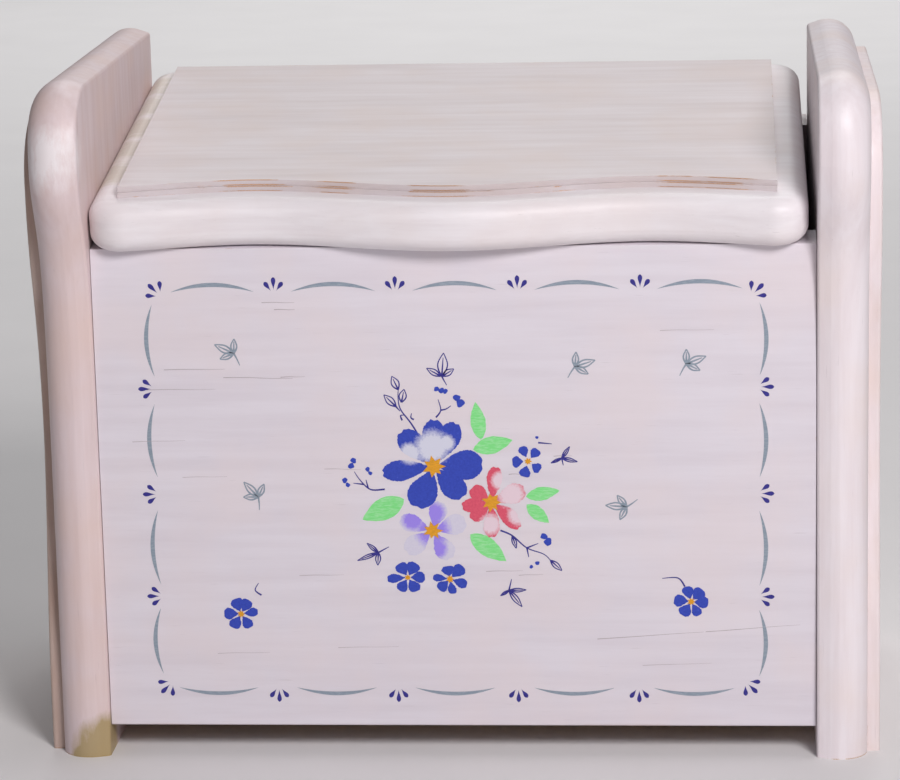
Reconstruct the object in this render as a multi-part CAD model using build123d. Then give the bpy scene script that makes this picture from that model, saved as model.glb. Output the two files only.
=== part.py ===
from build123d import *
import math
import os

# Painted pine bread box. Two shaped side boards stand on the floor and carry a front panel,
# a back panel and a bottom board between them. A heavy lid slopes up towards the back, reaches
# out over the front panel and opens on two butt hinges.
# Millimetres, +Z up, +Y towards the back, +X to the right.

# ---------------------------------------------------------------- driving dimensions
inner_width = 350.0          # between the inner faces of the two side boards
side_depth = 210.0           # from the foot's front corner to the back edge of a side board
panel_setback = 4.2          # front panel's face behind the foot's front corner
foot_gap = 14.7              # lower edge of the front and back panels above the floor
front_panel_height = 241.1   # front panel, lower edge to the top of its front face
lid_slope = 8.8              # degrees, rising towards the back

side_thickness = 25.0        # main side board
crown_height = 2.8           # how far the side board's rounded edge stands proud of its inner corner
crown_inset = 8.3            # crown of that edge, measured from the inner face
side_edge_radius = 0.84 * (side_thickness - crown_inset)   # large round outside the crown
crown_round = 0.72 * (side_thickness - crown_inset)        # softened ridge of the crown
arris_round = 2.0            # eased corner between the crown's slope and the inner face
side_rise = 20.0             # top of a side board above the lid's top at the side board's back edge
head_drop = 41.0             # foremost point of the side board's head below its top
head_reach = 21.5            # that point in front of the foot's front corner
head_round = 36.0            # length of the curve from the foremost point back to the flat top
waist_setback = 0.5          # scooped waist of the side board in front of the foot's front corner

overlay_thickness = 6.2      # thin board applied to the outside of each side board
overlay_drop = 14.8          # overlay's top edge below the side board's top
overlay_foot_setback = 11.0  # overlay's front edge behind the foot's front corner, at the floor
overlay_waist_setback = 25.0 # the same at the scooped waist
overlay_head_setback = 8.5   # the same at the head
overlay_head_drop = 10.0     # overlay's foremost point below the side board's
overlay_head_round = 60.0    # length of the curve from it back to the overlay's flat top
overlay_edge_radius = 1.6    # eased outer edge

front_panel_thickness = 19.0
back_panel_thickness = 19.0
bottom_thickness = 10.0
panel_side_gap = 0.3         # ends of the panels to the side boards' inner faces
panel_edge_radius = 1.0      # eased front edges of the front panel
cleat_width = 15.0           # glued and screwed strips inside the corners
floor_cleat_height = 12.0
corner_cleat_drop = 5.0      # corner cleats end this far below the front panel's top
cleat_bevel = 3.0

lid_thickness = 24.0
lid_left_clearance = 0.4     # lid's left edge to the left side board
lid_right_clearance = 4.0    # lid's right edge to the right side board
lid_rest_clearance = 0.3     # lid's underside above the front panel's top edge
lid_nose_reach = 11.7        # lid's nose in front of the foot's front corner, at the middle
lid_wave = 6.0               # half the depth of the serpentine front edge
lid_wave_length = 190.0      # from crest to crest of the serpentine
lid_corner_radius = 16.0     # rounded corners seen from above
lid_nose_radius = lid_thickness / 3   # rounded edges all round the lid board
lid_back_overhang = 12.7     # lid board behind the hinge axis

lid_panel_thickness = 5.2    # thin raised board on top of the lid
lid_panel_left_margin = 14.4
lid_panel_right_margin = 14.8
lid_panel_front_margin = 17.9
lid_panel_back_margin = 15.6
lid_panel_step = 1.6         # small stepped edge on its front

hinge_length = 50.0
hinge_leaf_width = 17.5      # from the pin's axis to the leaf's free edge
hinge_leaf_thickness = 1.5
hinge_leaf_gap = 0.3         # between the closed leaves
hinge_knuckle_radius = 2.7
hinge_pin_radius = 1.3
hinge_pin_clearance = 0.05   # radial, in the lid leaf's knuckles
hinge_knuckle_gap = 0.3      # between neighbouring knuckles
hinge_leaf_corner = 1.5      # rounded corners of a leaf's free edge
hinge_pin_head = 0.8         # riveted head at each end of the pin
mortise_play = 0.5           # room around the knuckles in the wood
hinge_inset = 70.0           # hinge centre from the side boards' inner faces
hinge_back_gap = 0.7         # knuckles to the back face of the back panel
lid_back_gap = 1.0           # lid's underside to the back panel's top edge

hinge_screw_head_radius = 2.9
hinge_screw_shank_radius = 1.4
hinge_screw_length = 13.0
hinge_screw_pitch = 17.0
hinge_screw_inset = 11.5     # screw line from the pin's axis
wood_screw_head_radius = 3.6
wood_screw_shank_radius = 1.9
back_screw_length = 45.0     # through a side board into the back panel's end
cleat_screw_length = 25.0
bottom_screw_bite = 8.0      # into the floor cleat, below the bottom board
bottom_screw_shift = 12.0    # keeps these screws clear of the ones through the cleat
corner_screw_shift = 14.0    # the same in the corner cleats
brad_radius = 0.7
brad_head_radius = 1.1
overlay_brad_length = 18.0
lid_brad_bite = 3.2          # lid panel's brads, driven from below, into the panel
brad_margin = 12.0           # brads from the edges of the overlay and of the lid panel
fastener_fit = 0.05          # wood around a screw or brad
screw_slot_width = 0.8
screw_slot_depth = 0.7

# ---------------------------------------------------------------- places worked out from them
half_width = inner_width / 2
slope = math.radians(lid_slope)
panel_back = panel_setback + front_panel_thickness
back_panel_front = side_depth - back_panel_thickness
panel_top = foot_gap + front_panel_height
axis_y = side_depth + hinge_back_gap + hinge_knuckle_radius
underside = lid_back_gap / 2          # lid's underside above the hinge's middle plane
lid_top = underside + lid_thickness
# The hinge axis lies on the plane half way between the lid's underside and the back panel's top.
rest_point = (panel_setback, panel_top + lid_rest_clearance)
axis_z = (rest_point[1] - underside / math.cos(slope)
          + (axis_y - rest_point[0]) * math.tan(slope))
lid_crest_z = axis_z + (lid_top + lid_panel_thickness) / math.cos(slope) \
    - (axis_y - side_depth) * math.tan(slope)
side_height = lid_crest_z + side_rise
head_z = side_height - head_drop
bottom_board_z = foot_gap + floor_cleat_height
hinge_x = half_width - hinge_inset


def lid_to_box(shape):
    """Turn a shape made flat, with the hinge axis as its X axis, to its place on the box."""
    return Pos(0, axis_y, axis_z) * (Rot(lid_slope, 0, 0) * shape)


def mirror_x(shape):
    return mirror(shape, about=Plane.YZ)


def screw(head_radius, shank_radius, length):
    """Countersunk screw with its flat head on z = 0 and its point downwards."""
    head_depth = head_radius - shank_radius
    body = Cylinder(shank_radius, length, align=(Align.CENTER, Align.CENTER, Align.MAX))
    head = Pos(0, 0, -head_depth / 2) * Cone(shank_radius, head_radius, head_depth)
    return body + head


def hole(head_radius, shank_radius, length):
    """Hole that a countersunk screw of this size sits in."""
    return screw(head_radius + fastener_fit, shank_radius + fastener_fit, length + fastener_fit)


def slotted_screw(head_radius, shank_radius, length):
    slot = Box(3 * head_radius, screw_slot_width, screw_slot_depth,
               align=(Align.CENTER, Align.CENTER, Align.MAX))
    return screw(head_radius, shank_radius, length) - slot


def brad(length, fit=0):
    """Small nail with its head flush on z = 0 and its point downwards, or its hole."""
    below = (Align.CENTER, Align.CENTER, Align.MAX)
    body = Cylinder(brad_radius + fit, length + fit, align=below)
    return body + Cylinder(brad_head_radius + fit, brad_head_radius + fit, align=below)


# ---------------------------------------------------------------- side boards and their overlays
def side_face(front_points, foremost, top_start_y, top_z):
    """Side view of a board: wavy front edge, rounded head, flat top, straight back."""
    foot = front_points[0]
    shoulder = (foremost[0] + 0.23 * (top_start_y - foremost[0]),
                foremost[1] + 0.75 * (top_z - foremost[1]))
    front = Spline(*front_points, foremost, tangents=[(0, 1), (0, 1)])
    head = Spline(foremost, shoulder, (top_start_y, top_z), tangents=[(0, 1), (1, 0)])
    rest = Polyline((top_start_y, top_z), (side_depth, top_z), (side_depth, 0), foot)
    return Plane.YZ * make_face([front, head, rest])


def shaped_edges(board, x):
    """Front and top edges of a side board or overlay that lie in the plane X = x."""
    return [edge for edge in board.edges()
            if abs(edge.bounding_box().min.X - x) < 0.3 and abs(edge.bounding_box().max.X - x) < 0.3
            and edge.bounding_box().max.Z > 1 and edge.bounding_box().min.Y < side_depth - 1]


def build_side_board():
    """Right-hand main board: bevelled to a crown on the inside, a large round on the outside."""
    foot_y = -crown_height
    waist_y = -waist_setback
    neck_y = waist_y - 0.38 * (head_reach - waist_setback)
    outline = side_face(
        [(foot_y, 0),
         (foot_y + 0.3 * (waist_y - foot_y), 0.20 * head_z),
         (waist_y, 0.53 * head_z),
         (waist_y - 1.0, 0.73 * head_z),
         (neck_y, 0.87 * head_z)],
        (-head_reach, head_z), head_round - head_reach, side_height)
    board = Pos(half_width, 0, 0) * extrude(outline, side_thickness)
    inner_face = board.faces().sort_by(Axis.X)[0]
    board = chamfer(shaped_edges(board, half_width), crown_height, crown_inset,
                    reference=inner_face)
    board = fillet(shaped_edges(board, half_width + side_thickness), side_edge_radius)
    board = fillet(shaped_edges(board, half_width + crown_inset), crown_round)
    return fillet(shaped_edges(board, half_width), arris_round)


def build_overlay():
    """Right-hand overlay, set back from the main board's front and top."""
    swing = overlay_waist_setback - overlay_foot_setback
    outline = side_face(
        [(overlay_foot_setback, 0),
         (overlay_foot_setback + 0.08 * swing, 0.16 * head_z),
         (overlay_foot_setback + 0.55 * swing, 0.34 * head_z),
         (overlay_waist_setback, 0.56 * head_z),
         (0.45 * overlay_head_setback + 0.55 * overlay_waist_setback, 0.76 * head_z)],
        (overlay_head_setback, head_z - overlay_head_drop), overlay_head_setback + overlay_head_round,
        side_height - overlay_drop)
    outer_x = half_width + side_thickness + overlay_thickness
    board = Pos(outer_x - overlay_thickness, 0, 0) * extrude(outline, overlay_thickness)
    return fillet(shaped_edges(board, outer_x), overlay_edge_radius)


# ---------------------------------------------------------------- front, back and bottom
def box_between(low, high):
    size = [b - a for a, b in zip(low, high)]
    return Pos(*low) * Box(*size, align=(Align.MIN, Align.MIN, Align.MIN))


def build_front_panel():
    """Front panel; its top edge is planed to the slope of the lid that rests on it."""
    end_x = half_width - panel_side_gap
    panel = box_between((-end_x, panel_setback, foot_gap), (end_x, panel_back, side_height))
    front_edges = [e for e in panel.edges().filter_by(Axis.X)
                   if abs(e.center().Y - panel_setback) < 0.01 and e.center().Z < panel_top]
    panel = fillet(front_edges, panel_edge_radius)
    planed_off = box_between((-inner_width, -inner_width, underside - lid_rest_clearance
                              * math.cos(slope)), (inner_width, inner_width, side_height))
    return panel - lid_to_box(planed_off)


def build_back_panel():
    """Back panel, planed to the same slope just below the closed hinges."""
    end_x = half_width - panel_side_gap
    panel = box_between((-end_x, back_panel_front, foot_gap), (end_x, side_depth, side_height))
    planed_off = box_between((-inner_width, -inner_width, underside - lid_back_gap),
                             (inner_width, inner_width, side_height))
    return panel - lid_to_box(planed_off)


def build_bottom_board():
    end_x = half_width - panel_side_gap
    return box_between((-end_x, panel_back, bottom_board_z),
                       (end_x, back_panel_front, bottom_board_z + bottom_thickness))


def build_floor_cleat():
    """Right-hand strip under the bottom board."""
    strip = box_between((half_width - cleat_width, panel_back, foot_gap),
                        (half_width, back_panel_front, bottom_board_z))
    inner_lower = [e for e in strip.edges().filter_by(Axis.Y)
                   if e.center().X < half_width - 1 and e.center().Z < bottom_board_z - 1]
    return chamfer(inner_lower, cleat_bevel)


def build_corner_cleat():
    """Right-hand upright strip behind the front panel, standing on the bottom board."""
    strip = box_between((half_width - cleat_width, panel_back, bottom_board_z + bottom_thickness),
                        (half_width, panel_back + cleat_width, panel_top - corner_cleat_drop))
    inner_back = [e for e in strip.edges().filter_by(Axis.Z)
                  if e.center().X < half_width - 1 and e.center().Y > panel_back + 1]
    return chamfer(inner_back, cleat_bevel)


# ---------------------------------------------------------------- lid, made flat about the hinge axis
lid_left = -half_width + lid_left_clearance
lid_right = half_width - lid_right_clearance
lid_nose_y = ((underside + lid_thickness / 2) * math.sin(slope) - lid_nose_reach - axis_y) \
    / math.cos(slope)


def wave(x):
    """Setback of the serpentine front edge at x: none in the middle, most at each crest."""
    return lid_wave * (1 - math.cos(2 * math.pi * x / lid_wave_length))


def serpentine_plate(left, right, front, back, low, thickness):
    """Plate whose front edge follows the serpentine between its left and right edges."""
    quarter = lid_wave_length / 4
    stations = [left] + [k * quarter for k in range(-40, 41) if left + 8 < k * quarter < right - 8]
    points = [(x, front + wave(x)) for x in stations + [right]]
    outline = make_face([Spline(*points),
                         Polyline(points[-1], (right, back), (left, back), points[0])])
    return Pos(0, 0, low) * extrude(outline, thickness)


def build_lid_board():
    """Bullnosed board with rounded corners, mortised on its underside for the hinges."""
    board = serpentine_plate(lid_left, lid_right, lid_nose_y, lid_back_overhang,
                             underside, lid_thickness)
    board = fillet(board.edges().filter_by(Axis.Z), lid_corner_radius)
    rims = [e for e in board.edges() if abs(e.bounding_box().size.Z) < 0.01]
    board = fillet(rims, lid_nose_radius)
    for x in (-hinge_x, hinge_x):
        board -= lid_leaf_room(x)
    return board


def build_lid_panel():
    """Thin raised board glued on the lid, with a small step along its serpentine front."""
    front = lid_nose_y + lid_panel_front_margin
    left = lid_left + lid_panel_left_margin
    right = lid_right - lid_panel_right_margin
    back = lid_back_overhang - lid_panel_back_margin
    half = lid_panel_thickness / 2
    base = serpentine_plate(left, right, front - lid_panel_step, back, lid_top, half)
    upper = serpentine_plate(left, right, front, back, lid_top + half, lid_panel_thickness - half)
    return base + upper


# ---------------------------------------------------------------- hinges, about the axis X
knuckle_length = (hinge_length - 4 * hinge_knuckle_gap) / 5
leaf_reach = hinge_leaf_gap / 2 + hinge_leaf_thickness


def leaf(x, upper):
    """One leaf with its knuckles; the lid's leaf has the second and fourth knuckles."""
    sign = 1 if upper else -1
    low_z = hinge_leaf_gap / 2 if upper else -leaf_reach
    plate = box_between((x - hinge_length / 2, -hinge_leaf_width, low_z),
                        (x + hinge_length / 2, 0, low_z + hinge_leaf_thickness))
    corners = [e for e in plate.edges().filter_by(Axis.Z) if e.center().Y < -1]
    plate = fillet(corners, hinge_leaf_corner)
    plate -= Pos(x, 0, 0) * (Rot(0, 90, 0) * Cylinder(hinge_knuckle_radius, 2 * hinge_length))
    bore = hinge_pin_radius + (hinge_pin_clearance if upper else 0)
    own = (1, 3) if upper else (0, 2, 4)
    body = plate
    for k in range(5):
        start = x - hinge_length / 2 + k * (knuckle_length + hinge_knuckle_gap)
        centre = start + knuckle_length / 2
        if k in own:
            knuckle = Rot(0, 90, 0) * Cylinder(hinge_knuckle_radius, knuckle_length)
            web = box_between((start, -hinge_knuckle_radius, low_z),
                              (start + knuckle_length, 0, low_z + hinge_leaf_thickness))
            body += Pos(centre, 0, 0) * knuckle
            body += web
        else:
            room = Rot(0, 90, 0) * Cylinder(hinge_knuckle_radius + hinge_knuckle_gap,
                                            knuckle_length + 2 * hinge_knuckle_gap)
            body -= Pos(centre, 0, 0) * room
    body -= Pos(x, 0, 0) * (Rot(0, 90, 0) * Cylinder(bore, 2 * hinge_length))
    for place in leaf_screw_places(x, upper):
        body -= place * hole(hinge_screw_head_radius, hinge_screw_shank_radius, hinge_screw_length)
    return body


def leaf_screw_places(x, upper):
    """Where the leaf's screws start: their heads are flush with the leaf's inner face."""
    z = hinge_leaf_gap / 2 if upper else -hinge_leaf_gap / 2
    turn = Rot(180, 0, 0) if upper else Rot(0, 0, 0)
    return [Pos(x + k * hinge_screw_pitch, -hinge_screw_inset, z) * turn for k in (-1, 0, 1)]


def hinge_pin(x):
    pin = Rot(0, 90, 0) * Cylinder(hinge_pin_radius, hinge_length + 2 * hinge_pin_head)
    heads = [Pos(side * (hinge_length + hinge_pin_head) / 2, 0, 0)
             * (Rot(0, 90, 0) * Cylinder(hinge_knuckle_radius * 0.8, hinge_pin_head))
             for side in (-1, 1)]
    return Pos(x, 0, 0) * (pin + heads[0] + heads[1])


def mortise(x, low_z, high_z):
    """Shallow recess for a leaf, as long as the leaf and open at the back."""
    return box_between((x - hinge_length / 2, -hinge_leaf_width, low_z),
                       (x + hinge_length / 2, hinge_knuckle_radius, high_z))


def knuckle_room(x):
    """Room for the knuckles and the pin's heads in the lid's underside."""
    length = hinge_length + 2 * hinge_pin_head + 2 * mortise_play
    return Pos(x, 0, 0) * (Rot(0, 90, 0) * Cylinder(hinge_knuckle_radius + mortise_play, length))


def lid_leaf_room(x):
    return mortise(x, 0, leaf_reach) + knuckle_room(x)


def fixed_leaf_room(x):
    return mortise(x, -leaf_reach, 0) + knuckle_room(x)


# ---------------------------------------------------------------- places of the fasteners
def spread(low, high, shares):
    return [low + share * (high - low) for share in shares]


def wood_screw(length):
    return slotted_screw(wood_screw_head_radius, wood_screw_shank_radius, length)


def wood_screw_hole(length):
    return hole(wood_screw_head_radius, wood_screw_shank_radius, length)


def hinge_screw():
    return slotted_screw(hinge_screw_head_radius, hinge_screw_shank_radius, hinge_screw_length)


def hinge_screw_hole():
    return hole(hinge_screw_head_radius, hinge_screw_shank_radius, hinge_screw_length)


def placed(shape, places):
    return [place * shape for place in places]


def cut_by(board, shapes):
    for shape in shapes:
        board -= shape
    return board


def both_sides(shapes):
    return shapes + [mirror_x(shape) for shape in shapes]


def group(shapes):
    """Like fasteners share one node, as separate solids."""
    return Compound(children=[solid for shape in shapes for solid in shape.solids()])


# Through each side board into the back panel's end; the overlay hides the heads.
back_screw_places = [
    Pos(half_width + side_thickness, side_depth - back_panel_thickness / 2, z) * Rot(0, 90, 0)
    for z in spread(foot_gap, panel_top, (0.12, 0.50, 0.88))]

# Through a floor cleat into the side board, and down through the bottom board into the cleat.
cleat_screw_places = [
    Pos(half_width - cleat_width, y, foot_gap + floor_cleat_height / 2) * Rot(0, -90, 0)
    for y in spread(panel_back, back_panel_front, (0.18, 0.50, 0.82))]
bottom_screw_places = [
    Pos(half_width - cleat_width / 2, y + bottom_screw_shift, bottom_board_z + bottom_thickness)
    for y in spread(panel_back, back_panel_front, (0.18, 0.50, 0.82))]

# Through a corner cleat into the side board and into the front panel.
corner_z = bottom_board_z + bottom_thickness
corner_screw_heights = spread(corner_z, panel_top - corner_cleat_drop, (0.2, 0.7))
corner_side_places = [
    Pos(half_width - cleat_width, panel_back + cleat_width / 2, z) * Rot(0, -90, 0)
    for z in corner_screw_heights]
corner_front_places = [
    Pos(half_width - cleat_width / 2, panel_back + cleat_width, z + corner_screw_shift)
    * Rot(-90, 0, 0) for z in corner_screw_heights]

# Through the overlay into the side board.
overlay_brad_places = [
    Pos(half_width + side_thickness + overlay_thickness, y, z) * Rot(0, 90, 0)
    for y in (overlay_waist_setback + brad_margin, side_depth - brad_margin)
    for z in spread(0, side_height - overlay_drop, (0.06, 0.36, 0.64, 0.92))]

# Up through the lid board into the lid panel, so that the top shows no heads; flat about the
# hinge axis.
panel_left = lid_left + lid_panel_left_margin
panel_right = lid_right - lid_panel_right_margin
panel_front = lid_nose_y + lid_panel_front_margin
panel_rear = lid_back_overhang - lid_panel_back_margin
panel_brad_places = [
    Pos(x, y, underside) * Rot(180, 0, 0)
    for x in spread(panel_left, panel_right, (0.06, 0.35, 0.65, 0.94))
    for y in (panel_front + 2 * lid_wave + brad_margin, panel_rear - brad_margin)]


# ---------------------------------------------------------------- the box, then the lid
hinge_places = {"left": -hinge_x, "right": hinge_x}
fixed_leaf_places = [p for x in hinge_places.values() for p in leaf_screw_places(x, upper=False)]
lid_leaf_places = [p for x in hinge_places.values() for p in leaf_screw_places(x, upper=True)]

back_holes = placed(wood_screw_hole(back_screw_length), back_screw_places)
cleat_holes = placed(wood_screw_hole(cleat_screw_length), cleat_screw_places)
bottom_screw_length = bottom_thickness + bottom_screw_bite
bottom_holes = placed(wood_screw_hole(bottom_screw_length), bottom_screw_places)
corner_side_holes = placed(wood_screw_hole(cleat_screw_length), corner_side_places)
corner_front_holes = placed(wood_screw_hole(cleat_screw_length), corner_front_places)
overlay_brads = placed(brad(overlay_brad_length), overlay_brad_places)
overlay_brad_holes = placed(brad(overlay_brad_length, fastener_fit), overlay_brad_places)
lid_brad_length = lid_thickness + lid_brad_bite
panel_brads = placed(brad(lid_brad_length), panel_brad_places)
panel_brad_holes = placed(brad(lid_brad_length, fastener_fit), panel_brad_places)

side_board = cut_by(build_side_board(),
                    back_holes + cleat_holes + corner_side_holes + overlay_brad_holes)
overlay = cut_by(build_overlay(), overlay_brad_holes)
floor_cleat = cut_by(build_floor_cleat(), cleat_holes + bottom_holes)
corner_cleat = cut_by(build_corner_cleat(), corner_side_holes + corner_front_holes)
back_panel = cut_by(build_back_panel(),
                    both_sides(back_holes)
                    + [lid_to_box(fixed_leaf_room(x)) for x in hinge_places.values()]
                    + [lid_to_box(cut) for cut in placed(hinge_screw_hole(), fixed_leaf_places)])
lid_board = cut_by(build_lid_board(), placed(hinge_screw_hole(), lid_leaf_places)
                   + panel_brad_holes)

parts = {
    "left_side_board": mirror_x(side_board),
    "right_side_board": side_board,
    "left_side_overlay": mirror_x(overlay),
    "right_side_overlay": overlay,
    "front_panel": cut_by(build_front_panel(), both_sides(corner_front_holes)),
    "back_panel": back_panel,
    "bottom_board": cut_by(build_bottom_board(), both_sides(bottom_holes)),
    "left_floor_cleat": mirror_x(floor_cleat),
    "right_floor_cleat": floor_cleat,
    "left_corner_cleat": mirror_x(corner_cleat),
    "right_corner_cleat": corner_cleat,
    "back_panel_screws": group(both_sides(placed(wood_screw(back_screw_length), back_screw_places))),
    "floor_cleat_screws": group(both_sides(placed(wood_screw(cleat_screw_length),
                                                  cleat_screw_places))),
    "bottom_board_screws": group(both_sides(placed(wood_screw(bottom_screw_length),
                                                   bottom_screw_places))),
    "corner_cleat_screws": group(both_sides(placed(wood_screw(cleat_screw_length),
                                                   corner_side_places + corner_front_places))),
    "overlay_brads": group(both_sides(overlay_brads)),
    "lid_board": lid_to_box(lid_board),
    "lid_panel": lid_to_box(cut_by(build_lid_panel(), panel_brad_holes)),
    "lid_panel_brads": lid_to_box(group(panel_brads)),
    "hinge_fixed_screws": lid_to_box(group(placed(hinge_screw(), fixed_leaf_places))),
    "hinge_lid_screws": lid_to_box(group(placed(hinge_screw(), lid_leaf_places))),
}
for side, x in hinge_places.items():
    parts[f"{side}_hinge_fixed_leaf"] = lid_to_box(leaf(x, upper=False))
    parts[f"{side}_hinge_lid_leaf"] = lid_to_box(leaf(x, upper=True))
    parts[f"{side}_hinge_pin"] = lid_to_box(hinge_pin(x))

# The origin is the middle of the whole object's footprint, on the floor.
boxes = [shape.bounding_box() for shape in parts.values()]
front_y = min(box.min.Y for box in boxes)
rear_y = max(box.max.Y for box in boxes)
to_origin = Pos(0, -(front_y + rear_y) / 2, 0)

os.makedirs("parts", exist_ok=True)
for name, shape in parts.items():
    export_step(to_origin * shape, f"parts/{name}.step")
print(f"hinge axis: y {axis_y - (front_y + rear_y) / 2:.4f}  z {axis_z:.4f}")
print(f"extent in y: {rear_y - front_y:.3f}, side height {side_height:.3f}")
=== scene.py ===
import math
import random

import bpy
from mathutils import Matrix, Vector


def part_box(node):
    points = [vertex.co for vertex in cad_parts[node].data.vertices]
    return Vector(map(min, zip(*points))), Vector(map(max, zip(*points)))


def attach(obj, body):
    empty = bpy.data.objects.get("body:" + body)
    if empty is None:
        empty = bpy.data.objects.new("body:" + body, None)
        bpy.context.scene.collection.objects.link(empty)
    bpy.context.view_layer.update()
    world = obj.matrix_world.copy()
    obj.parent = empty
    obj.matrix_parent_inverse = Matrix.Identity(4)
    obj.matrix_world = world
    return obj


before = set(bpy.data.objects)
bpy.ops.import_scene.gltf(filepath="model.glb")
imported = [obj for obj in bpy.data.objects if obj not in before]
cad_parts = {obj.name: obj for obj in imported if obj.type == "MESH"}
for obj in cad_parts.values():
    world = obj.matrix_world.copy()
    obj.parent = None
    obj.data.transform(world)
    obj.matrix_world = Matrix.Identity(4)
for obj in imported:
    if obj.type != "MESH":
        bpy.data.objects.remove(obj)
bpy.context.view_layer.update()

# Painted pine bread box: two shaped side boards that stand as feet, a front panel with hand-painted
# flowers, a sloping lid on two butt hinges, and plain panels and strips inside. Metres, +Z up, the
# lid's hinges at +Y.


# ---- Camera: stands in front, a little to the right and above, with a long lens.
camera_place = Vector((0.13053, -1.73198, 0.56348))
camera_yaw = 0.0807
camera_pitch = 0.2267
camera_roll = 0.0234
ahead = Vector((-math.sin(camera_yaw) * math.cos(camera_pitch),
                math.cos(camera_yaw) * math.cos(camera_pitch),
                -math.sin(camera_pitch)))
level = Vector((math.cos(camera_yaw), math.sin(camera_yaw), 0))
down = ahead.cross(level)
across = math.cos(camera_roll) * level + math.sin(camera_roll) * down
up = math.sin(camera_roll) * level - math.cos(camera_roll) * down
camera = bpy.data.objects.new("camera", bpy.data.cameras.new("camera"))
camera.data.sensor_fit = "HORIZONTAL"
camera.data.sensor_width = 36
camera.data.lens = 139.13
camera.data.clip_end = 20
facing = Matrix((across, up, -ahead)).transposed().to_4x4()
camera.matrix_world = Matrix.Translation(camera_place) @ facing
bpy.context.scene.collection.objects.link(camera)
bpy.context.scene.camera = camera


# ---- Studio: a large soft light from the upper right, weak ones from the left and overhead, a wide
# one over the floor behind, a pale sky all round, and colours shown as they are.
def linear(code):
    """sRGB hex colour as linear RGBA."""
    parts = [int(code[i:i + 2], 16) / 255 for i in (1, 3, 5)]
    return [c / 12.92 if c <= 0.04045 else ((c + 0.055) / 1.055) ** 2.4 for c in parts] + [1.0]


def soft_light(name, place, target, size, watts, colour):
    lamp = bpy.data.objects.new(name, bpy.data.lights.new(name, "AREA"))
    lamp.data.shape = "DISK"
    lamp.data.size = size
    lamp.data.energy = watts
    lamp.data.color = linear(colour)[:3]
    lamp.location = place
    lamp.rotation_euler = (Vector(target) - Vector(place)).to_track_quat("-Z", "Y").to_euler()
    bpy.context.scene.collection.objects.link(lamp)


soft_light("key_light", (0.85, -1.80, 1.40), (0.0, 0.0, 0.16), 0.70, 36, "#FFFBFC")
soft_light("fill_light", (-0.7, -2.2, 0.9), (0.0, 0.0, 0.16), 0.8, 1, "#F6F6FF")
soft_light("overhead_light", (0.2, 0.5, 1.7), (0.0, 0.0, 0.3), 0.8, 3, "#FFFFFF")
soft_light("floor_light", (0.0, 3.2, 2.4), (0.0, 3.2, 0.0), 3.0, 60, "#FFFFFF")

sky = bpy.data.worlds.new("studio")
sky.use_nodes = True
sky.node_tree.nodes["Background"].inputs["Color"].default_value = linear("#E9E8EC")
sky.node_tree.nodes["Background"].inputs["Strength"].default_value = 0.20
bpy.context.scene.world = sky
bpy.context.scene.view_settings.view_transform = "Standard"


# ---- Floor: plain pale matt board with a faint mottle about 110 mm across, not part of the box.
def add(tree, kind, inputs=None, **settings):
    """Adds a node: settings go to its properties, values and sockets to its inputs."""
    made = tree.nodes.new(kind)
    for key, value in settings.items():
        setattr(made, key, value)
    for key, value in (inputs or {}).items():
        if isinstance(value, bpy.types.NodeSocket):
            tree.links.new(value, made.inputs[key])
        else:
            made.inputs[key].default_value = value
    return made


def new_material(name):
    """Material with its Principled shader and Output only: returns it, its tree and the shader."""
    made = bpy.data.materials.new(name)
    made.use_nodes = True
    return made, made.node_tree, made.node_tree.nodes["Principled BSDF"]


floor_mesh = bpy.data.meshes.new("floor")
floor_half = 8.0
floor_corners = [(x * floor_half, y * floor_half, 0) for x, y in ((-1, -1), (1, -1), (1, 1), (-1, 1))]
floor_mesh.from_pydata(floor_corners, [], [(0, 1, 2, 3)])
floor = bpy.data.objects.new("floor", floor_mesh)
bpy.context.scene.collection.objects.link(floor)
floor_board, tree, shader = new_material("matt_pale_board")
place = add(tree, "ShaderNodeTexCoord").outputs["Object"]
mottle = add(tree, "ShaderNodeTexNoise", {"Vector": place, "Scale": 9.0, "Detail": 3.0})
tint = add(tree, "ShaderNodeMix", {0: mottle.outputs["Fac"], 6: linear("#E3E1E1"),
                                  7: linear("#EAE8E8")}, data_type="RGBA")
tree.links.new(tint.outputs[2], shader.inputs["Base Color"])
shader.inputs["Roughness"].default_value = 0.8
floor_mesh.materials.append(floor_board)


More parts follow.
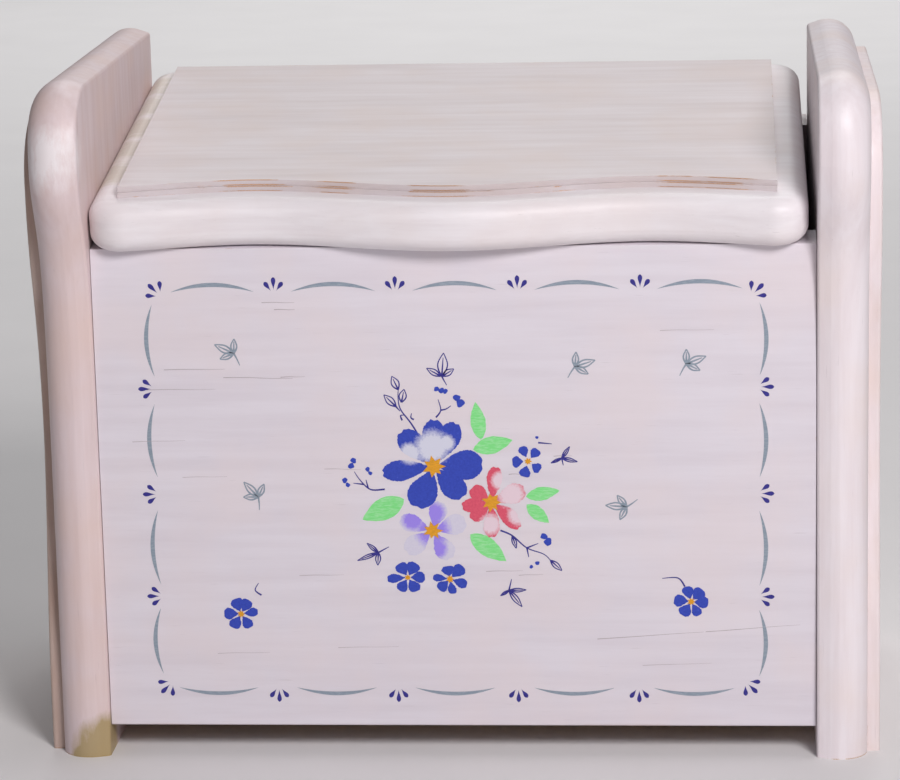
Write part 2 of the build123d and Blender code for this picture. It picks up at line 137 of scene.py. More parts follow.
# ---- Side boards: solid pine about 25 mm thick, the edges moulded, rubbed with thinned white
# paint that leaves the grain showing, then varnished satin. Screwed to the back panel under the
# overlays, and to the strips inside.
def whitewashed_pine(name, grain, wash, streak, warm, wood, worn_share=0.45, worn_width=0.0012,
                     bare_spots=(), marks=()):
    """Pine under thin white paint: soft streaks along the grain, fine dark pores, patches where
    the wash is warmer, bare wood on knocked edges, and marks: a colour, its strength and places."""
    made, tree, shader = new_material(name)
    place = add(tree, "ShaderNodeTexCoord").outputs["Object"]

    def along_grain(length, width):
        across, down_grain = 1 / width, 1 / length
        scale = (down_grain, across, across) if grain == "X" else (across, across, down_grain)
        return add(tree, "ShaderNodeMapping", {"Vector": place, "Scale": scale}).outputs["Vector"]

    def reaches(spots):
        total = None
        for centre, radius in spots:
            away = add(tree, "ShaderNodeVectorMath", {0: place, 1: centre}, operation="DISTANCE")
            near = add(tree, "ShaderNodeMapRange",
                       {"Value": away.outputs["Value"], "From Min": radius, "From Max": 0.0})
            if total is None:
                total = near.outputs[0]
            else:
                total = add(tree, "ShaderNodeMath", {0: total, 1: near.outputs[0]},
                            operation="MAXIMUM").outputs[0]
        return total

    # Annual rings show as streaks about 6 mm wide and 90 mm long, warmer wash as patches about
    # 42 mm across, and pores 0.7 mm wide, coarser than in real pine so that they show.
    fibre = add(tree, "ShaderNodeTexNoise", {"Vector": along_grain(0.09, 0.0060), "Scale": 1.0,
                                             "Detail": 5.0, "Roughness": 0.55}).outputs["Fac"]
    fibre_tone = add(tree, "ShaderNodeMapRange", {"Value": fibre, "From Min": 0.36, "From Max": 0.72,
                                                  "To Max": 0.75}).outputs[0]
    patch = add(tree, "ShaderNodeTexNoise", {"Vector": place, "Scale": 24.0,
                                             "Detail": 3.0}).outputs["Fac"]
    patch_tone = add(tree, "ShaderNodeMapRange", {"Value": patch, "From Min": 0.42,
                                                  "From Max": 0.66, "To Max": 0.55}).outputs[0]
    pore = add(tree, "ShaderNodeTexNoise", {"Vector": along_grain(0.016, 0.0007), "Scale": 1.0,
                                            "Detail": 2.0, "Roughness": 0.5}).outputs["Fac"]
    pore_tone = add(tree, "ShaderNodeMapRange", {"Value": pore, "From Min": 0.70, "From Max": 0.82,
                                                 "To Max": 0.25}).outputs[0]
    painted = add(tree, "ShaderNodeMix", {0: fibre_tone, 6: linear(wash), 7: linear(streak)},
                  data_type="RGBA").outputs[2]
    painted = add(tree, "ShaderNodeMix", {0: patch_tone, 6: painted, 7: linear(warm)},
                  data_type="RGBA").outputs[2]
    painted = add(tree, "ShaderNodeMix", {0: pore_tone, 6: painted, 7: linear("#8E7F82")},
                  data_type="RGBA").outputs[2]

    # Bare wood: near an edge the bevelled normal leaves the true one; patchy, plus the places.
    rounded = add(tree, "ShaderNodeBevel", {"Radius": worn_width}, samples=6).outputs[0]
    true_normal = add(tree, "ShaderNodeNewGeometry").outputs["Normal"]
    alike = add(tree, "ShaderNodeVectorMath", {0: rounded, 1: true_normal},
                operation="DOT_PRODUCT").outputs["Value"]
    edge = add(tree, "ShaderNodeMapRange", {"Value": alike, "From Min": 0.995,
                                            "From Max": 0.90}).outputs[0]
    rub = add(tree, "ShaderNodeTexNoise", {"Vector": along_grain(0.020, 0.006), "Scale": 1.0,
                                           "Detail": 5.0, "Roughness": 0.7}).outputs["Fac"]
    if bare_spots:
        rub = add(tree, "ShaderNodeMath", {0: reaches(bare_spots), 1: 0.4, 2: rub},
                  operation="MULTIPLY_ADD").outputs[0]
    rub_tone = add(tree, "ShaderNodeMapRange", {"Value": rub, "From Min": 0.66 - 0.35 * worn_share,
                                                "From Max": 0.78 - 0.35 * worn_share}).outputs[0]
    bare = add(tree, "ShaderNodeMath", {0: edge, 1: rub_tone}, operation="MULTIPLY").outputs[0]
    wood_tone = add(tree, "ShaderNodeMix", {0: fibre_tone, 6: linear(wood), 7: linear("#8A5F38")},
                    data_type="RGBA").outputs[2]
    colour = add(tree, "ShaderNodeMix", {0: bare, 6: painted, 7: wood_tone},
                 data_type="RGBA").outputs[2]
    for mark, strength, places in marks:
        soaked = add(tree, "ShaderNodeMath", {0: reaches(places), 1: rub},
                     operation="MULTIPLY").outputs[0]
        soaked = add(tree, "ShaderNodeMapRange", {"Value": soaked, "From Min": 0.14, "From Max": 0.34,
                                                  "To Max": strength}).outputs[0]
        colour = add(tree, "ShaderNodeMix", {0: soaked, 6: colour, 7: linear(mark)},
                     data_type="RGBA").outputs[2]
    tree.links.new(colour, shader.inputs["Base Color"])

    # Satin varnish: the grain shows as a shallow relief and a small change of gloss.
    gloss = add(tree, "ShaderNodeMapRange", {"Value": fibre, "To Min": 0.36, "To Max": 0.56}).outputs[0]
    tree.links.new(gloss, shader.inputs["Roughness"])
    relief = add(tree, "ShaderNodeMath", {0: pore_tone, 1: -0.5, 2: fibre}, operation="MULTIPLY_ADD")
    bump = add(tree, "ShaderNodeBump", {"Height": relief.outputs[0], "Strength": 0.30,
                                        "Distance": 0.0003})
    tree.links.new(bump.outputs["Normal"], shader.inputs["Normal"])
    return made


def finish_node(name, material):
    """The carried-over piece keeps its shape and takes this finish."""
    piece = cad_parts[name]
    if not piece.material_slots:
        piece.data.materials.append(material)
    for held in piece.material_slots:
        held.material = material


low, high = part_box("left_side_board")
left_foot = (low.x + 0.013, low.y + 0.020, 0.0)
left_inner_foot = (high.x, low.y + 0.024, 0.004)
# The left board is washed darker and warmer than the right one: partly painted shade, as it stands
# farther from the light on the right.
left_wash_painted_shade = whitewashed_pine(
    "whitewashed_pine_left_side_painted_shade", "Z", "#E0CFD1", "#D3BDBC", "#DCC2B9", "#C79A62", worn_share=0.25,
    bare_spots=[((high.x, low.y + 0.02, high.z - 0.085), 0.030), (left_foot, 0.030),
                (left_inner_foot, 0.030), ((low.x + 0.004, low.y + 0.014, high.z - 0.088), 0.020)],
    marks=[("#A08A48", 0.80, [(left_foot, 0.011), (left_inner_foot, 0.026)]),
           ("#F6F1F3", 0.80, [((low.x + 0.012, low.y + 0.006, high.z - 0.034), 0.026)])])
finish_node("left_side_board", left_wash_painted_shade)

low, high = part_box("right_side_board")
right_wash = whitewashed_pine(
    "whitewashed_pine_right_side", "Z", "#EDE5E9", "#E1D5D8", "#E9DAD6", "#C79A62", worn_share=0.2,
    bare_spots=[((high.x - 0.004, low.y + 0.022, 0.001), 0.022),
                ((high.x - 0.008, low.y + 0.006, high.z - 0.090), 0.016)])
finish_node("right_side_board", right_wash)


# ---- Overlays: thin boards glued and bradded to the outside of each side board, set back from
# its edge. Washed alike, but the left one is coloured darker and browner, partly as painted shade
# since it faces away from the light on the right; their eased front edges are rubbed brownish.
finish_node("left_side_overlay", whitewashed_pine(
    "whitewashed_pine_left_overlay_painted_shade", "Z", "#C4AFA6", "#A88C7E", "#B8998A", "#A87B52", worn_share=0.8,
    worn_width=0.0010))
finish_node("right_side_overlay", whitewashed_pine(
    "whitewashed_pine_right_overlay", "Z", "#EBE0E2", "#DECFCE", "#E6D3CB", "#B98D60", worn_share=0.35,
    worn_width=0.0009))


# ---- Lid: a thick pine board with rounded edges and a serpentine front, and a thin stepped panel
# glued on it and bradded from below. Whitewashed and satin; the panel's front arris is knocked back
# to bare pine.
low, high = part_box("lid_board")
# A patchy, darker beige strip along the lid board's left end, next to the left side board.
beige_margin_reach = 0.034
beige_left_margin = [((low.x + 0.006, low.y + share * (high.y - low.y),
                     low.z + share * (high.z - low.z) + 0.010), beige_margin_reach)
                   for share in (0.25, 0.4, 0.55, 0.7, 0.85)]
lid_wash = whitewashed_pine("whitewashed_pine_lid", "X", "#F0EBEE", "#E2DADD", "#E8DDDC", "#C08A50",
                            worn_share=0.05, marks=[("#B9AE93", 0.55, beige_left_margin)])
finish_node("lid_board", lid_wash)
low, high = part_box("lid_panel")
arris = (low.y + 0.005, low.z + 0.0045)
# The panel, most of the lid's top, is washed greyer and darker than the board's front: partly painted
# shade on the upward face.
lid_panel_wash_painted_shade = whitewashed_pine(
    "whitewashed_pine_lid_panel_painted_shade", "X", "#D5CCCE", "#CABEBE", "#D1C1BC", "#C58A48", worn_share=0.28,
    worn_width=0.0012,
    bare_spots=[((x, arris[0], arris[1]), reach) for x, reach in
                ((-0.094, 0.020), (-0.055, 0.014), (-0.006, 0.018), (0.110, 0.024), (0.130, 0.020))])
finish_node("lid_panel", lid_panel_wash_painted_shade)


# ---- Front panel: pine board about 19 mm thick between the side boards, cleats behind it. Grain
# across; whitewashed cooler than the sides, with a few fine drying checks along the grain.
low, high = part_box("front_panel")
front_wash = whitewashed_pine(
    "whitewashed_pine_front", "X", "#E1DBE3", "#D7CFD7", "#E3D7DA", "#C98B45", worn_share=0.10,
    bare_spots=[((-0.147, low.y, low.z), 0.014), ((0.074, low.y, low.z), 0.020),
                ((0.090, low.y, low.z), 0.020)])
finish_node("front_panel", front_wash)
panel_face = low.y


# ---- Painted decoration: craft paint brushed freehand on the front panel, a border of grey
# crescents and navy drops round a bouquet, with sprigs and small flowers. Places are millimetres
# across from the middle and up from the floor.
def brushed_paint(name, colour, thin, gloss=0.5, streak_width=0.0009):
    """Acrylic craft paint: brush streaks about a millimetre wide let the ground show a little."""
    made, tree, shader = new_material(name)
    place = add(tree, "ShaderNodeTexCoord").outputs["Object"]
    slanted = add(tree, "ShaderNodeMapping", {"Vector": place, "Rotation": (0, 0.6, 0),
                                              "Scale": (0.25 / streak_width, 1, 1 / streak_width)})
    streaks = add(tree, "ShaderNodeTexNoise", {"Vector": slanted.outputs["Vector"], "Scale": 1.0,
                                               "Detail": 4.0, "Roughness": 0.6}).outputs["Fac"]
    tone = add(tree, "ShaderNodeMapRange", {"Value": streaks, "From Min": 0.42, "From Max": 0.72,
                                            "To Max": 0.75}).outputs[0]
    blend = add(tree, "ShaderNodeMix", {0: tone, 6: linear(colour), 7: linear(thin)}, data_type="RGBA")
    tree.links.new(blend.outputs[2], shader.inputs["Base Color"])
    bump = add(tree, "ShaderNodeBump", {"Height": streaks, "Strength": 0.25, "Distance": 0.0002})
    tree.links.new(bump.outputs["Normal"], shader.inputs["Normal"])
    shader.inputs["Roughness"].default_value = gloss
    return made


coat_thickness = 0.00006
stroke_step = 0.00001
strokes_to_a_round = 5


def paint(name, outlines, material, coats=1):
    """Closed outlines, in millimetres on the panel's face, as dried paint. Each lies one step in
    front of the one before, and after every five the steps start again."""
    points, faces = [], []
    for index, outline in enumerate(outlines):
        turn = sum(a[0] * b[1] - b[0] * a[1] for a, b in zip(outline, outline[1:] + outline[:1]))
        ordered = outline if turn > 0 else outline[::-1]
        faces.append(range(len(points), len(points) + len(ordered)))
        front = panel_face - coat_thickness * coats - stroke_step * (index % strokes_to_a_round)
        points += [(x / 1000, front, z / 1000) for x, z in ordered]
    mesh = bpy.data.meshes.new(name)
    mesh.from_pydata(points, [], faces)
    mesh.materials.append(material)
    piece = bpy.data.objects.new(name, mesh)
    bpy.context.scene.collection.objects.link(piece)
    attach(piece, "case")
    return piece


def turned(x, z, angle):
    """Point turned about the origin by an angle in degrees."""
    cos, sin = math.cos(math.radians(angle)), math.sin(math.radians(angle))
    return cos * x - sin * z, sin * x + cos * z


def moved(points, at, angle=0, flip=1):
    """Points turned by an angle in degrees, mirrored if flip is -1, then moved to at."""
    rotated = [turned(x * flip, z, angle) for x, z in points]
    return [(x + at[0], z + at[1]) for x, z in rotated]


def crescent(length, bulge, width):
    """Stroke that swells in the middle and bends upwards, from -length/2 to length/2."""
    steps = [-1 + i / 12 for i in range(25)]
    rise = [(1 - t * t) for t in steps]
    upper = [(t * length / 2, (bulge + width) * r) for t, r in zip(steps, rise)]
    lower = [(t * length / 2, bulge * r) for t, r in zip(steps, rise)]
    return upper + lower[-2:0:-1]


def drop(length, width):
    """Teardrop pressed from a round brush: tail at the origin, round end upwards."""
    side = []
    for i in range(1, 12):
        t = i / 12
        side.append((width / 2 * math.sin(math.pi * t ** 2.2) ** 0.7, length * t))
    return [(0, 0)] + side + [(0, length)] + [(-x, z) for x, z in side[::-1]]


def stroke(points, width, taper=0.35):
    """Fine brush line through the points, thinning towards its end."""
    curve = []
    padded = [points[0]] + list(points) + [points[-1]]
    for a, b, c, d in zip(padded, padded[1:], padded[2:], padded[3:]):
        for i in range(6):
            t = i / 6
            curve.append(tuple(0.5 * (2 * q + (r - p) * t + (2 * p - 5 * q + 4 * r - s) * t * t
                                      + (3 * q - p - 3 * r + s) * t ** 3)
                               for p, q, r, s in zip(a, b, c, d)))
    curve.append(tuple(points[-1]))
    left, right = [], []
    for i, (x, z) in enumerate(curve):
        ahead_point = curve[min(i + 1, len(curve) - 1)]
        behind = curve[max(i - 1, 0)]
        dx, dz = ahead_point[0] - behind[0], ahead_point[1] - behind[1]
        size = math.hypot(dx, dz) or 1
        half = width / 2 * (1 - (1 - taper) * i / (len(curve) - 1))
        left.append((x - dz / size * half, z + dx / size * half))
        right.append((x + dz / size * half, z - dx / size * half))
    return left + right[::-1]


def leaf_line(base, tip, width, line):
    """Leaf drawn in outline with two curved strokes that meet at its tip, and a vein between."""
    dx, dz = tip[0] - base[0], tip[1] - base[1]
    size = math.hypot(dx, dz)
    across_leaf = (-dz / size * width / 2, dx / size * width / 2)
    strokes = []
    for side in (1, -1):
        bends = [(base[0] + dx * t + side * across_leaf[0] * s,
                  base[1] + dz * t + side * across_leaf[1] * s)
                 for t, s in ((0, 0), (0.3, 0.85), (0.6, 0.95), (1, 0.0))]
        strokes.append(stroke(bends, line, taper=0.6))
    strokes.append(stroke([base, (base[0] + 0.8 * dx, base[1] + 0.8 * dz)], 1.3 * line, taper=0.3))
    return strokes


navy_paint = brushed_paint("navy_craft_paint", "#2A2482", "#3A3798")
grey_blue_paint = brushed_paint("grey_blue_craft_paint", "#8795A3", "#A5AEBA")

# Border: five crescents above and below, four at each side, three drops between each pair and in
# each corner.
border_grey, border_navy = [], []


def fan(at, angle, spread=36, middle=6.4, side=5.4):
    """Three drops that spread from one point, the middle one longest."""
    for lean, length in ((-spread, side), (0, middle), (spread, side)):
        start = turned(0, 2.2, angle + lean)
        border_navy.append(moved(drop(length, 2.2), (at[0] + start[0], at[1] + start[1]), angle + lean))


for column in range(5):
    border_grey.append(moved(crescent(41, 2.6, 2.1), (-116 + 58.8 * column, 234.3)))
    border_grey.append(moved(crescent(40, 2.2, 1.9), (-120 + 58.8 * column, 34.5), 180))
for column in range(4):
    fan((-86 + 58.9 * column, 233.0), 0)
    fan((-90 + 59.4 * column, 35.5), 180)
for row, (z, length) in enumerate(((210.5, 36), (160.5, 37), (106.5, 38), (58.5, 34))):
    border_grey.append(moved(crescent(length, 2.4, 2.1), (-145.6 - 0.6 * row, z), 90))
    border_grey.append(moved(crescent(length, 2.2, 2.1), (147.6 - 0.2 * row, z - 1), -90))
for z in (186.5, 133.5, 81.5):
    fan((-145.5, z), 90)
    fan((146.0, z - 0.5), -90)
fan((-141.0, 232.5), 45, spread=42)
fan((143.5, 230.5), -45, spread=42)
fan((-143.0, 37.5), 135, spread=42)
fan((140.0, 38.0), -135, spread=42)
paint("border_crescents", border_grey, grey_blue_paint)
paint("border_drops", border_navy, navy_paint)

# Grey sprigs of three pointed leaves are strewn over the panel; navy leaves and stems stand round
# the bouquet, and a navy stem beside each of the two lone flowers.
def sprig(at, angle=0, flip=1, line=1.0):
    """Three outlined leaves and a short stem that meet in one point."""
    parts = []
    for tip, width in (((-9.2, 4.4), 3.4), ((0.4, 7.2), 2.8), ((-6.8, -2.8), 2.8)):
        parts += leaf_line((0, 0), tip, width, line)
    parts.append(stroke([(0, 0), (1.4, -2.6), (2.8, -6.0)], line))
    return [moved(part, at, angle, flip) for part in parts]


grey_sprigs = (sprig((-106.5, 204)) + sprig((59, 196.5), -8, -1) + sprig((112.5, 197.5), -4, -1)
               + sprig((-97, 132), -22) + sprig((83, 126.5), 150, -1))
paint("grey_leaf_sprigs", grey_sprigs, grey_blue_paint)

bouquet = (-10.4, 147.2)
fine = 0.75
navy_lines = []
for leaf in (((-16.4, 38.3), (-19.4, 45.0), 3.6), ((-15.0, 32.0), (-13.6, 38.5), 3.4),
             ((-17.7, 29.9), (-23.5, 35.8), 3.4), ((4.9, 44.9), (6.0, 56.4), 4.6),
             ((4.4, 44.9), (-2.4, 48.9), 2.8), ((5.3, 44.9), (10.8, 48.5), 2.8),
             ((37.6, -35.1), (39.4, -41.5), 2.0), ((56.0, -47.6), (61.5, -52.8), 2.6),
             ((62.3, 3.8), (57.0, 1.4), 1.2), ((62.3, 3.8), (66.2, 9.6), 1.6),
             ((62.3, 3.8), (69.9, 2.0), 1.8), ((-28.3, -43.5), (-38.7, -47.6), 1.8),
             ((-28.3, -43.5), (-33.8, -38.8), 1.8), ((-28.3, -43.5), (-28.8, -50.0), 2.4),
             ((35.4, -62.9), (31.2, -65.6), 1.2), ((35.4, -62.9), (43.9, -62.6), 1.8),
             ((35.4, -62.9), (41.7, -71.2), 2.6)):
    navy_lines += leaf_line(*leaf, fine)
for stem in ([(-5.7, 13.1), (-10.6, 21.5), (-15.5, 28.4), (-16.6, 34.0), (-16.4, 38.3)],
             [(-17.7, 29.9), (-15.8, 27.6)], [(-14.9, 23.0), (-15.6, 25.4), (-13.9, 25.6)],
             [(-9.2, 23.4), (-10.6, 24.4), (-10.2, 26.6)],
             [(4.9, 44.9), (6.0, 42.6), (7.2, 40.4)], [(1.6, 24.4), (4.0, 28.0), (2.8, 33.4)],
             [(4.0, 28.0), (6.6, 28.6), (9.0, 30.2)],
             [(-24.3, -11.5), (-31.2, -11.6), (-36.0, -7.2), (-39.0, -2.6)],
             [(-32.4, -11.0), (-33.4, -6.6)], [(-34.6, -9.0), (-39.6, -8.4)],
             [(31.8, -32.4), (37.6, -35.1), (44.6, -41.3), (53.0, -44.6), (57.0, -49.0)],
             [(44.6, -41.3), (50.2, -39.0)], [(44.6, -41.3), (45.4, -46.0)],
             [(51.0, 11.6), (57.6, 11.0)], [(62.3, 3.8), (63.0, 0.2)],
             [(-28.3, -43.5), (-23.0, -40.6)], [(35.4, -62.9), (36.8, -57.0)],
             [(-86.8, -65.2), (-89.8, -62.6), (-88.0, -59.0)],
             [(121.4, -61.0), (118.0, -56.6), (110.4, -56.8)]):
    navy_lines.append(stroke(stem, fine + 0.15))
paint("navy_sprigs_and_stems", [moved(part, bouquet) for part in navy_lines], navy_paint)


# Leaves: one loaded stroke of light green each.
def leaf_shape(base, tip, width, seed):
    """Leaf from base to tip, its edges a little uneven."""
    ragged = random.Random(seed)
    dx, dz = tip[0] - base[0], tip[1] - base[1]
    size = math.hypot(dx, dz)
    nx, nz = -dz / size, dx / size
    left, right = [], []
    for i in range(17):
        t = i / 16
        for side, edge_points in ((1, left), (-1, right)):
            uneven = ragged.uniform(-0.15, 0.15) if 0 < i < 16 else 0
            half = side * (width / 2 * math.sin(math.pi * t ** 0.85) ** 0.85 + uneven)
            edge_points.append((base[0] + dx * t + nx * half, base[1] + dz * t + nz * half))
    return left + right[-2:0:-1]


green_leaves = [leaf_shape(*leaf, seed) for seed, leaf in enumerate((
    ((-15.0, -16.5), (-35.6, -26.8), 11.0), ((23.2, 13.2), (20.8, 32.0), 7.4),
    ((19.4, 8.2), (38.6, 13.0), 8.6), ((44.6, -15.4), (61.0, -12.4), 6.8),
    ((44.8, -19.4), (55.6, -28.6), 6.6), ((17.0, -34.4), (34.4, -48.0), 9.4)))]
leaf_green = brushed_paint("light_green_craft_paint", "#7DE284", "#B4EAB6")
paint("green_leaves", [moved(leaf, bouquet) for leaf in green_leaves], leaf_green)


# Flowers: petals pressed from a loaded brush, their edges dabbed uneven. Where the brush ran dry
# the colour fades into a second one.
def faded_paint(name, colour, faded, places, loaded):
    """Craft paint in dabs about a millimetre across, mottled with a darker colour where the brush
    was loaded, that fades to another round each place: x, z and reach in millimetres."""
    made, tree, shader = new_material(name)
    place = add(tree, "ShaderNodeTexCoord").outputs["Object"]
    dabs = add(tree, "ShaderNodeTexNoise", {"Vector": place, "Scale": 900.0, "Detail": 4.0,
                                            "Roughness": 0.65}).outputs["Fac"]
    nearest = None
    for x, z, reach_mm in places:
        away = add(tree, "ShaderNodeVectorMath", {0: place, 1: (x / 1000, panel_face, z / 1000)},
                   operation="DISTANCE").outputs["Value"]
        near = add(tree, "ShaderNodeMapRange", {"Value": away, "From Min": reach_mm / 1000,
                                                "From Max": 0.0}).outputs[0]
        nearest = near if nearest is None else add(tree, "ShaderNodeMath", {0: nearest, 1: near},
                                                   operation="MAXIMUM").outputs[0]
    uneven = add(tree, "ShaderNodeMath", {0: dabs, 1: 0.5, 2: nearest},
                 operation="MULTIPLY_ADD").outputs[0]
    share = add(tree, "ShaderNodeMapRange", {"Value": uneven, "From Min": 0.34,
                                             "From Max": 0.74}).outputs[0]
    body = add(tree, "ShaderNodeMix", {0: dabs, 6: linear(loaded), 7: linear(colour)},
               data_type="RGBA").outputs[2]
    blend = add(tree, "ShaderNodeMix", {0: share, 6: body, 7: linear(faded)},
                data_type="RGBA").outputs[2]
    tree.links.new(blend, shader.inputs["Base Color"])
    bump = add(tree, "ShaderNodeBump", {"Height": dabs, "Strength": 0.25, "Distance": 0.0002})
    tree.links.new(bump.outputs["Normal"], shader.inputs["Normal"])
    shader.inputs["Roughness"].default_value = 0.5
    return made


def petal(angle, length, width, seed, start=1.8, notch=0.05, ragged=0.22):
    """Petal that points away from the flower's centre, narrow at its start and broad near its end."""
    uneven = random.Random(seed)
    lean = uneven.uniform(-0.08, 0.08)
    steps = max(10, round(length * 1.6))
    side = []
    for i in range(1, steps):
        t = i / steps
        side.append((width / 2 * math.sin(math.pi * t ** 1.5) ** 0.6, start + (length - start) * t))
    half_foot = 0.3
    whole = ([(half_foot, start)] + side + [(0, length * (1 - notch))]
             + [(-x, z) for x, z in side[::-1]] + [(-half_foot, start)])
    dabbed = [(x + lean * z + uneven.uniform(-ragged, ragged) * min(1, abs(x) / 2),
               z + uneven.uniform(-ragged, ragged) * min(1, abs(x) / 2)) for x, z in whole]
    return [turned(x, z, angle - 90) for x, z in dabbed]


def flower(at, petals, seed, **shape):
    """Petals round one point, each given by its angle in degrees, length and width."""
    return [moved(petal(*each, seed + i, **shape), at) for i, each in enumerate(petals)]


gold = brushed_paint("gold_craft_paint", "#E8A21C", "#B98212", streak_width=0.0005)
royal_blue = faded_paint("royal_blue_craft_paint", "#3450C8", "#D5D6E6",
                         [(bouquet[0] + x, bouquet[1] + z, reach_mm) for x, z, reach_mm in
                          ((-0.6, 9.6, 11.0), (-11.4, 6.4, 7.0), (6.2, 11.6, 5.5))],
                         loaded="#1E329C")

blue_heads = flower(bouquet, ((133, 24, 12.5), (88, 24, 11.5), (62, 25, 11.5), (0, 24.5, 15.0),
                              (-52, 21.5, 12.0), (-109, 23, 14.5), (186, 26, 10.5)), 10)
small_heads = []
for place_on_panel, petals in (((-24.5, 91.0), ((120, 8.6, 6.4), (62, 8.8, 6.8), (2, 8.8, 5.8),
                                              (-62, 8.6, 6.0), (-122, 8.4, 5.6), (182, 10.6, 4.6))),
                             ((-3.8, 90.2), ((100, 7.0, 6.6), (44, 9.6, 6.4), (-20, 9.2, 5.0),
                                            (-84, 8.0, 4.4), (-136, 8.2, 5.6), (172, 8.8, 3.8)))):
    small_heads += flower(place_on_panel, petals, 40, ragged=0.18, start=1.5)
small_heads += flower((35.5, 149.5), ((110, 8.4, 4.6), (50, 8.0, 5.0), (-34, 7.6, 5.2),
                                     (-106, 8.4, 5.6), (182, 8.0, 5.8)), 60, ragged=0.18, start=2.4)
small_heads += flower((-107.6, 72.4), ((112, 8.6, 6.4), (60, 8.6, 6.0), (4, 8.8, 4.6),
                                      (-60, 8.6, 5.4), (-118, 8.8, 5.8), (178, 8.8, 6.0)), 70,
                      ragged=0.18, start=1.5)
small_heads += flower((114.0, 78.6), ((104, 8.4, 5.6), (48, 8.6, 6.4), (-8, 8.8, 6.0),
                                     (-62, 8.4, 4.8), (-120, 8.6, 6.2), (172, 8.8, 6.2)), 80,
                      ragged=0.18, start=1.5)
for x, z, size in ((2.2, 38.6, 2.6), (4.6, 37.8, 2.8), (6.4, 37.4, 2.4), (12.0, 34.0, 3.6),
                   (13.6, 31.4, 4.0), (-39.2, 3.0, 2.8), (-40.4, 0.4, 3.0), (-32.4, -1.4, 2.2),
                   (-31.2, -3.4, 2.0), (-43.8, -7.0, 2.6), (-42.4, -9.2, 2.2), (53.0, -35.4, 3.4),
                   (55.0, -38.2, 3.8), (49.6, -49.0, 2.2), (46.6, -50.8, 1.8), (50.4, 14.2, 1.6)):
    dab = [(size / 2 * (1 + 0.18 * math.sin(3 * a + x)) * math.cos(a),
            size / 2 * (1 + 0.18 * math.sin(2 * a + z)) * math.sin(a))
           for a in [2 * math.pi * i / 14 for i in range(14)]]
    small_heads.append(moved(dab, (bouquet[0] + x, bouquet[1] + z)))
paint("blue_petals", blue_heads + small_heads, royal_blue, coats=2)

coral_centre = (17.4, 128.9)
coral = faded_paint("coral_craft_paint", "#EA6078", "#E7D0DA",
                    [(coral_centre[0] + x, coral_centre[1] + z, reach_mm) for x, z, reach_mm in
                     ((4.6, 11.0, 6.0), (9.6, 4.0, 9.0), (13.0, -6.2, 7.0), (-0.8, -11.0, 7.0))],
                    loaded="#C93E58")
paint("coral_petals", flower(coral_centre, ((79, 18.5, 7.5), (23, 18, 10), (-47, 19, 7), (-27, 15, 5),
                                            (-87, 18, 8), (225, 13.5, 7), (190, 15, 7),
                                            (141, 12.5, 8)), 100), coral, coats=3)

lilac_centre = (-11.7, 114.8)
lilac = faded_paint("lilac_craft_paint", "#DDD9E6", "#9C86EA",
                    [(*lilac_centre, 11.0), (lilac_centre[0] + 1.0, lilac_centre[1] + 9.0, 7.0),
                     (lilac_centre[0] + 1.6, lilac_centre[1] - 9.0, 7.0),
                     (lilac_centre[0] - 9.6, lilac_centre[1] + 5.4, 7.0)], loaded="#CBC6DC")
paint("lilac_petals", flower(lilac_centre, ((160, 17.5, 9), (72, 15.5, 9), (15, 17.5, 10.5),
                                            (-60, 17, 10), (219, 17.5, 10)), 130), lilac, coats=1)


def star(size, seed, arms=7):
    """Centre dabbed with the brush's tip: a small star with uneven arms."""
    uneven = random.Random(seed)
    points = []
    for i in range(2 * arms):
        arm = size if i % 2 == 0 else 0.55 * size
        points.append((arm * uneven.uniform(0.85, 1.1) * math.cos(math.pi * i / arms),
                       arm * uneven.uniform(0.85, 1.1) * math.sin(math.pi * i / arms)))
    return points


stars = [moved(star(size, i), at) for i, (at, size) in enumerate((
    (bouquet, 5.6), (coral_centre, 5.2), (lilac_centre, 4.8), ((-24.5, 91.0), 1.7),
    ((-3.8, 90.2), 2.2), ((35.5, 149.5), 2.0), ((-107.6, 72.4), 2.0), ((114.0, 78.6), 2.2)))]
paint("flower_centres", stars, gold, coats=5)


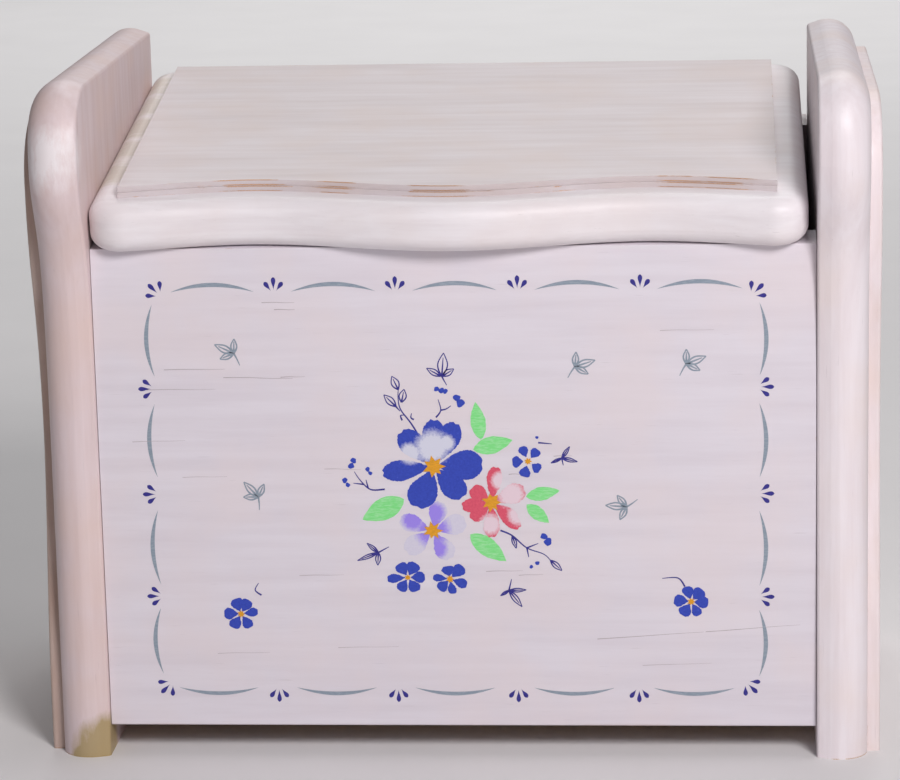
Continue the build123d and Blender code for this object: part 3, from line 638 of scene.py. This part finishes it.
# ---- Drying checks: hair-thin splits along the grain of the front panel, opened as the pine dried
# and darkened with dust in spots about 6 mm long. Each thins towards its right end.
check_dust, tree, shader = new_material("dusty_split_in_pine")
place = add(tree, "ShaderNodeTexCoord").outputs["Object"]
broken = add(tree, "ShaderNodeTexNoise", {"Vector": place, "Scale": 160.0, "Detail": 3.0}).outputs["Fac"]
dust = add(tree, "ShaderNodeMix", {0: broken, 6: linear("#8F8186"), 7: linear("#C6BBC0")},
           data_type="RGBA").outputs[2]
tree.links.new(dust, shader.inputs["Base Color"])
shader.inputs["Roughness"].default_value = 0.8
checks = []
for x, z, length, rise, width in ((68, 59.5, 52, 3.6, 0.35), (121, 63.2, 46, 3.6, 0.30),
                                  (-141, 196, 30, 0.2, 0.28), (-112, 192, 34, -0.6, 0.30),
                                  (-158, 160, 26, 0.6, 0.22), (-150, 186, 34, 0.2, 0.25),
                                  (-92, 229, 16, 0, 0.3), (-86, 225.5, 10, 0, 0.35),
                                  (-84, 192, 12, 0.3, 0.3), (-78, 92, 22, 0.4, 0.25),
                                  (14, 94, 18, 0.4, 0.28), (30, 92, 12, 0.5, 0.25),
                                  (26, 143, 8, 0.2, 0.3), (48, 152, 9, 0.2, 0.3),
                                  (-64, 146, 18, -0.3, 0.22), (-134, 142, 22, 0.4, 0.2),
                                  (-60, 55, 30, 0.6, 0.22), (90, 46, 34, 1.2, 0.22),
                                  (-120, 52, 26, 0.6, 0.2), (100, 214, 26, 0.3, 0.2)):
    checks.append(stroke([(x, z), (x + 0.35 * length, z + 0.3 * rise + 0.15),
                          (x + 0.7 * length, z + 0.75 * rise - 0.1), (x + length, z + rise)], width))
paint("drying_checks", checks, check_dust)


# ---- Back panel, bottom board and inner strips: the back is washed like the rest, the parts
# that only the inside shows are bare planed pine. Glued and screwed.
back_wash = whitewashed_pine("whitewashed_pine_back", "X", "#DDD3D4", "#D0C2C1", "#DCCBC4", "#C08A50",
                             worn_share=0.3)
finish_node("back_panel", back_wash)


def bare_pine(name, grain):
    """Planed pine without finish: honey-coloured, darker late wood in lines about 4 mm apart."""
    made, tree, shader = new_material(name)
    place = add(tree, "ShaderNodeTexCoord").outputs["Object"]
    line_length = 0.14
    line_spacing = 0.004
    down_grain, across = 1 / line_length, 1 / line_spacing
    scale = (down_grain, across, across) if grain == "X" else (across, across, down_grain)
    stretched = add(tree, "ShaderNodeMapping", {"Vector": place, "Scale": scale}).outputs["Vector"]
    rings = add(tree, "ShaderNodeTexNoise", {"Vector": stretched, "Scale": 1.0, "Detail": 6.0,
                                             "Roughness": 0.65}).outputs["Fac"]
    line = add(tree, "ShaderNodeMapRange", {"Value": rings, "From Min": 0.42,
                                            "From Max": 0.62}).outputs[0]
    tone = add(tree, "ShaderNodeMix", {0: line, 6: linear("#DDB98A"), 7: linear("#B98955")},
               data_type="RGBA").outputs[2]
    tree.links.new(tone, shader.inputs["Base Color"])
    bump = add(tree, "ShaderNodeBump", {"Height": rings, "Strength": 0.3, "Distance": 0.0004})
    tree.links.new(bump.outputs["Normal"], shader.inputs["Normal"])
    shader.inputs["Roughness"].default_value = 0.62
    return made


pine_across = bare_pine("bare_pine_across", "X")
pine_upright = bare_pine("bare_pine_upright", "Z")
finish_node("bottom_board", pine_across)
for name in ("left_floor_cleat", "right_floor_cleat"):
    finish_node(name, pine_across)
for name in ("left_corner_cleat", "right_corner_cleat"):
    finish_node(name, pine_upright)


# ---- Hinges and fasteners: pressed steel butt hinges with dulled brass plating, zinc-plated
# slotted screws and small brads.
def plated_steel(name, bright, dull, gloss):
    """Plating over pressed steel: fine scratches about a millimetre apart, dull 3 mm patches."""
    made, tree, shader = new_material(name)
    place = add(tree, "ShaderNodeTexCoord").outputs["Object"]
    patches = add(tree, "ShaderNodeTexNoise", {"Vector": place, "Scale": 320.0,
                                               "Detail": 5.0}).outputs["Fac"]
    tone = add(tree, "ShaderNodeMapRange", {"Value": patches, "From Min": 0.40,
                                            "From Max": 0.70}).outputs[0]
    blend = add(tree, "ShaderNodeMix", {0: tone, 6: linear(bright), 7: linear(dull)}, data_type="RGBA")
    tree.links.new(blend.outputs[2], shader.inputs["Base Color"])
    worn = add(tree, "ShaderNodeMapRange", {"Value": patches, "To Min": gloss, "To Max": gloss + 0.3})
    tree.links.new(worn.outputs[0], shader.inputs["Roughness"])
    scratch = add(tree, "ShaderNodeTexNoise", {"Vector": place, "Scale": 900.0,
                                               "Detail": 3.0}).outputs["Fac"]
    bump = add(tree, "ShaderNodeBump", {"Height": scratch, "Strength": 0.15, "Distance": 0.0001})
    tree.links.new(bump.outputs["Normal"], shader.inputs["Normal"])
    shader.inputs["Metallic"].default_value = 1.0
    return made


brass_plate = plated_steel("brass_plated_steel", "#C9A45C", "#8C6E3C", 0.25)
zinc_plate = plated_steel("zinc_plated_steel", "#B9B7B2", "#8E8C88", 0.3)
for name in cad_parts:
    if name.endswith(("_leaf", "_pin")):
        finish_node(name, brass_plate)
    elif name.endswith(("_screws", "_brads")):
        finish_node(name, zinc_plate)
